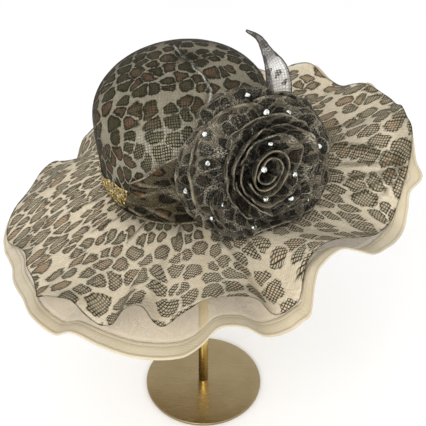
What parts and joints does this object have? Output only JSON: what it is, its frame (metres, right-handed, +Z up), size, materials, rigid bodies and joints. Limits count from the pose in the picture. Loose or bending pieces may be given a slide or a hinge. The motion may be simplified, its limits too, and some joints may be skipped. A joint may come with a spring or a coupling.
{
  "type": "wide-brim sun hat on a hat stand",
  "caption": "Wide-brim sun hat of sheer spotted cloth with a wavy layered brim, a draped sash and a large cloth rose with stones, on a plain round metal hat stand.",
  "frame": {"origin": "middle of the stand's round foot, on the surface it stands on", "axes": "+Z up along the stand's pole; +Y away from the picture's viewer; +X to the viewer's right, the side that the rose is on"},
  "size_m": [0.4453, 0.4794, 0.4741],
  "materials": {
    "dark_print": "sheer organza, dark spotted print",
    "light_print": "sheer open weave, brown spots on a pinkish cream ground",
    "plain_cloth": "plain cream open weave",
    "glitter": "gold sequin and glitter cloth",
    "crystal": "clear cut stone with a mirrored back",
    "stand_metal": "brushed, brass coloured",
    "stand_cap": "matt"
  },
  "bodies": {
    "root": {"crown": "dark_print", "brim_upper": "light_print", "brim_lower": "plain_cloth", "brim_hem": "plain_cloth", "glitter_band": "glitter", "sash": "dark_print", "petal_01": "dark_print", "petal_02": "dark_print", "petal_03": "dark_print", "petal_04": "dark_print", "petal_05": "dark_print", "petal_06": "dark_print", "petal_07": "dark_print", "petal_08": "dark_print", "petal_09": "dark_print", "petal_10": "dark_print", "petal_11": "dark_print", "petal_12": "dark_print", "petal_13": "dark_print", "petal_14": "dark_print", "petal_15": "dark_print", "petal_16": "dark_print", "rose_bud": "dark_print", "rose_backing": "dark_print", "leaf_upper": "light_print", "stone_01": "crystal", "stone_02": "crystal", "stone_03": "crystal", "stone_04": "crystal", "stone_05": "crystal", "stone_06": "crystal", "stone_07": "crystal", "stone_08": "crystal", "stone_09": "crystal", "stone_10": "crystal", "stone_11": "crystal", "stone_12": "crystal", "stone_13": "crystal", "stone_14": "crystal", "stone_15": "crystal", "stone_16": "crystal", "stone_17": "crystal", "stand_foot": "stand_metal", "stand_pole": "stand_metal", "stand_head": "stand_cap"}
  },
  "joints": []
}
